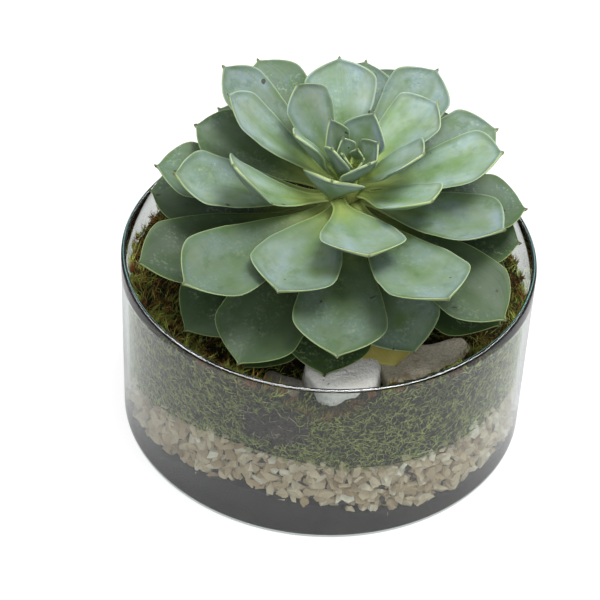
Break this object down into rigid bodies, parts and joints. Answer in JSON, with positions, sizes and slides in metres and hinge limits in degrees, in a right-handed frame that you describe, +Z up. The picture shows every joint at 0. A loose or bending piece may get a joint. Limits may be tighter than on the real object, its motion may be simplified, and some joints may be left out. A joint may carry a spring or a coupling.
{
  "type": "glass plant terrarium",
  "caption": "Open round glass dish terrarium with layered grit, gravel, soil and moss, pale pebbles and a large blue-green echeveria rosette.",
  "frame": {"origin": "centre of the underside of the glass dish, on the surface it stands on", "axes": "+Z up along the dish axis, -Y towards the front, +X to the right as seen from the front"},
  "size_m": [0.1996, 0.2, 0.1782],
  "materials": {
    "dish_glass": "clear polished glass, faintly green at its edges",
    "dark_grit": "fine dark grey mineral grit",
    "cream_gravel": "angular cream and tan limestone chips",
    "potting_soil": "moist dark brown potting soil",
    "moss": "olive green sheet moss with brown strands",
    "white_stone": "off-white tumbled pebble",
    "grey_stone": "grey tumbled pebble",
    "stem": "woody stem, green towards the crown",
    "leaf": "fleshy blue-green leaf with a waxy bloom and pale edges",
    "yellowing_leaf": "fleshy leaf turning yellow"
  },
  "bodies": {
    "root": {"glass_dish": "dish_glass", "sand_layer": "dark_grit", "gravel_layer": "cream_gravel", "soil": "potting_soil", "moss": "moss", "stone_front": "white_stone", "stone_right": "white_stone", "stone_left": "grey_stone", "stem": "stem", "rosette_heart": "leaf", "leaf_13": "leaf", "leaf_14": "leaf", "leaf_15": "leaf", "leaf_16": "leaf", "leaf_17": "leaf", "leaf_18": "leaf", "leaf_19": "leaf", "leaf_20": "leaf", "leaf_21": "leaf", "leaf_22": "leaf", "leaf_23": "leaf", "leaf_24": "leaf", "leaf_25": "leaf", "leaf_26": "leaf", "leaf_27": "leaf", "leaf_28": "leaf", "leaf_29": "leaf", "leaf_30": "leaf", "leaf_31": "leaf", "leaf_32": "leaf", "leaf_33": "leaf", "leaf_34": "leaf", "leaf_35": "leaf", "leaf_36": "leaf", "leaf_37": "leaf", "leaf_38": "leaf", "leaf_41": "leaf", "leaf_42": "leaf", "leaf_43": "leaf", "leaf_44": "leaf", "leaf_45": "leaf", "leaf_46": "leaf", "leaf_47": "leaf", "leaf_48": "leaf", "leaf_49": "leaf", "leaf_50": "leaf", "leaf_51": "leaf", "leaf_52": "leaf", "leaf_55": "yellowing_leaf"}
  },
  "joints": []
}
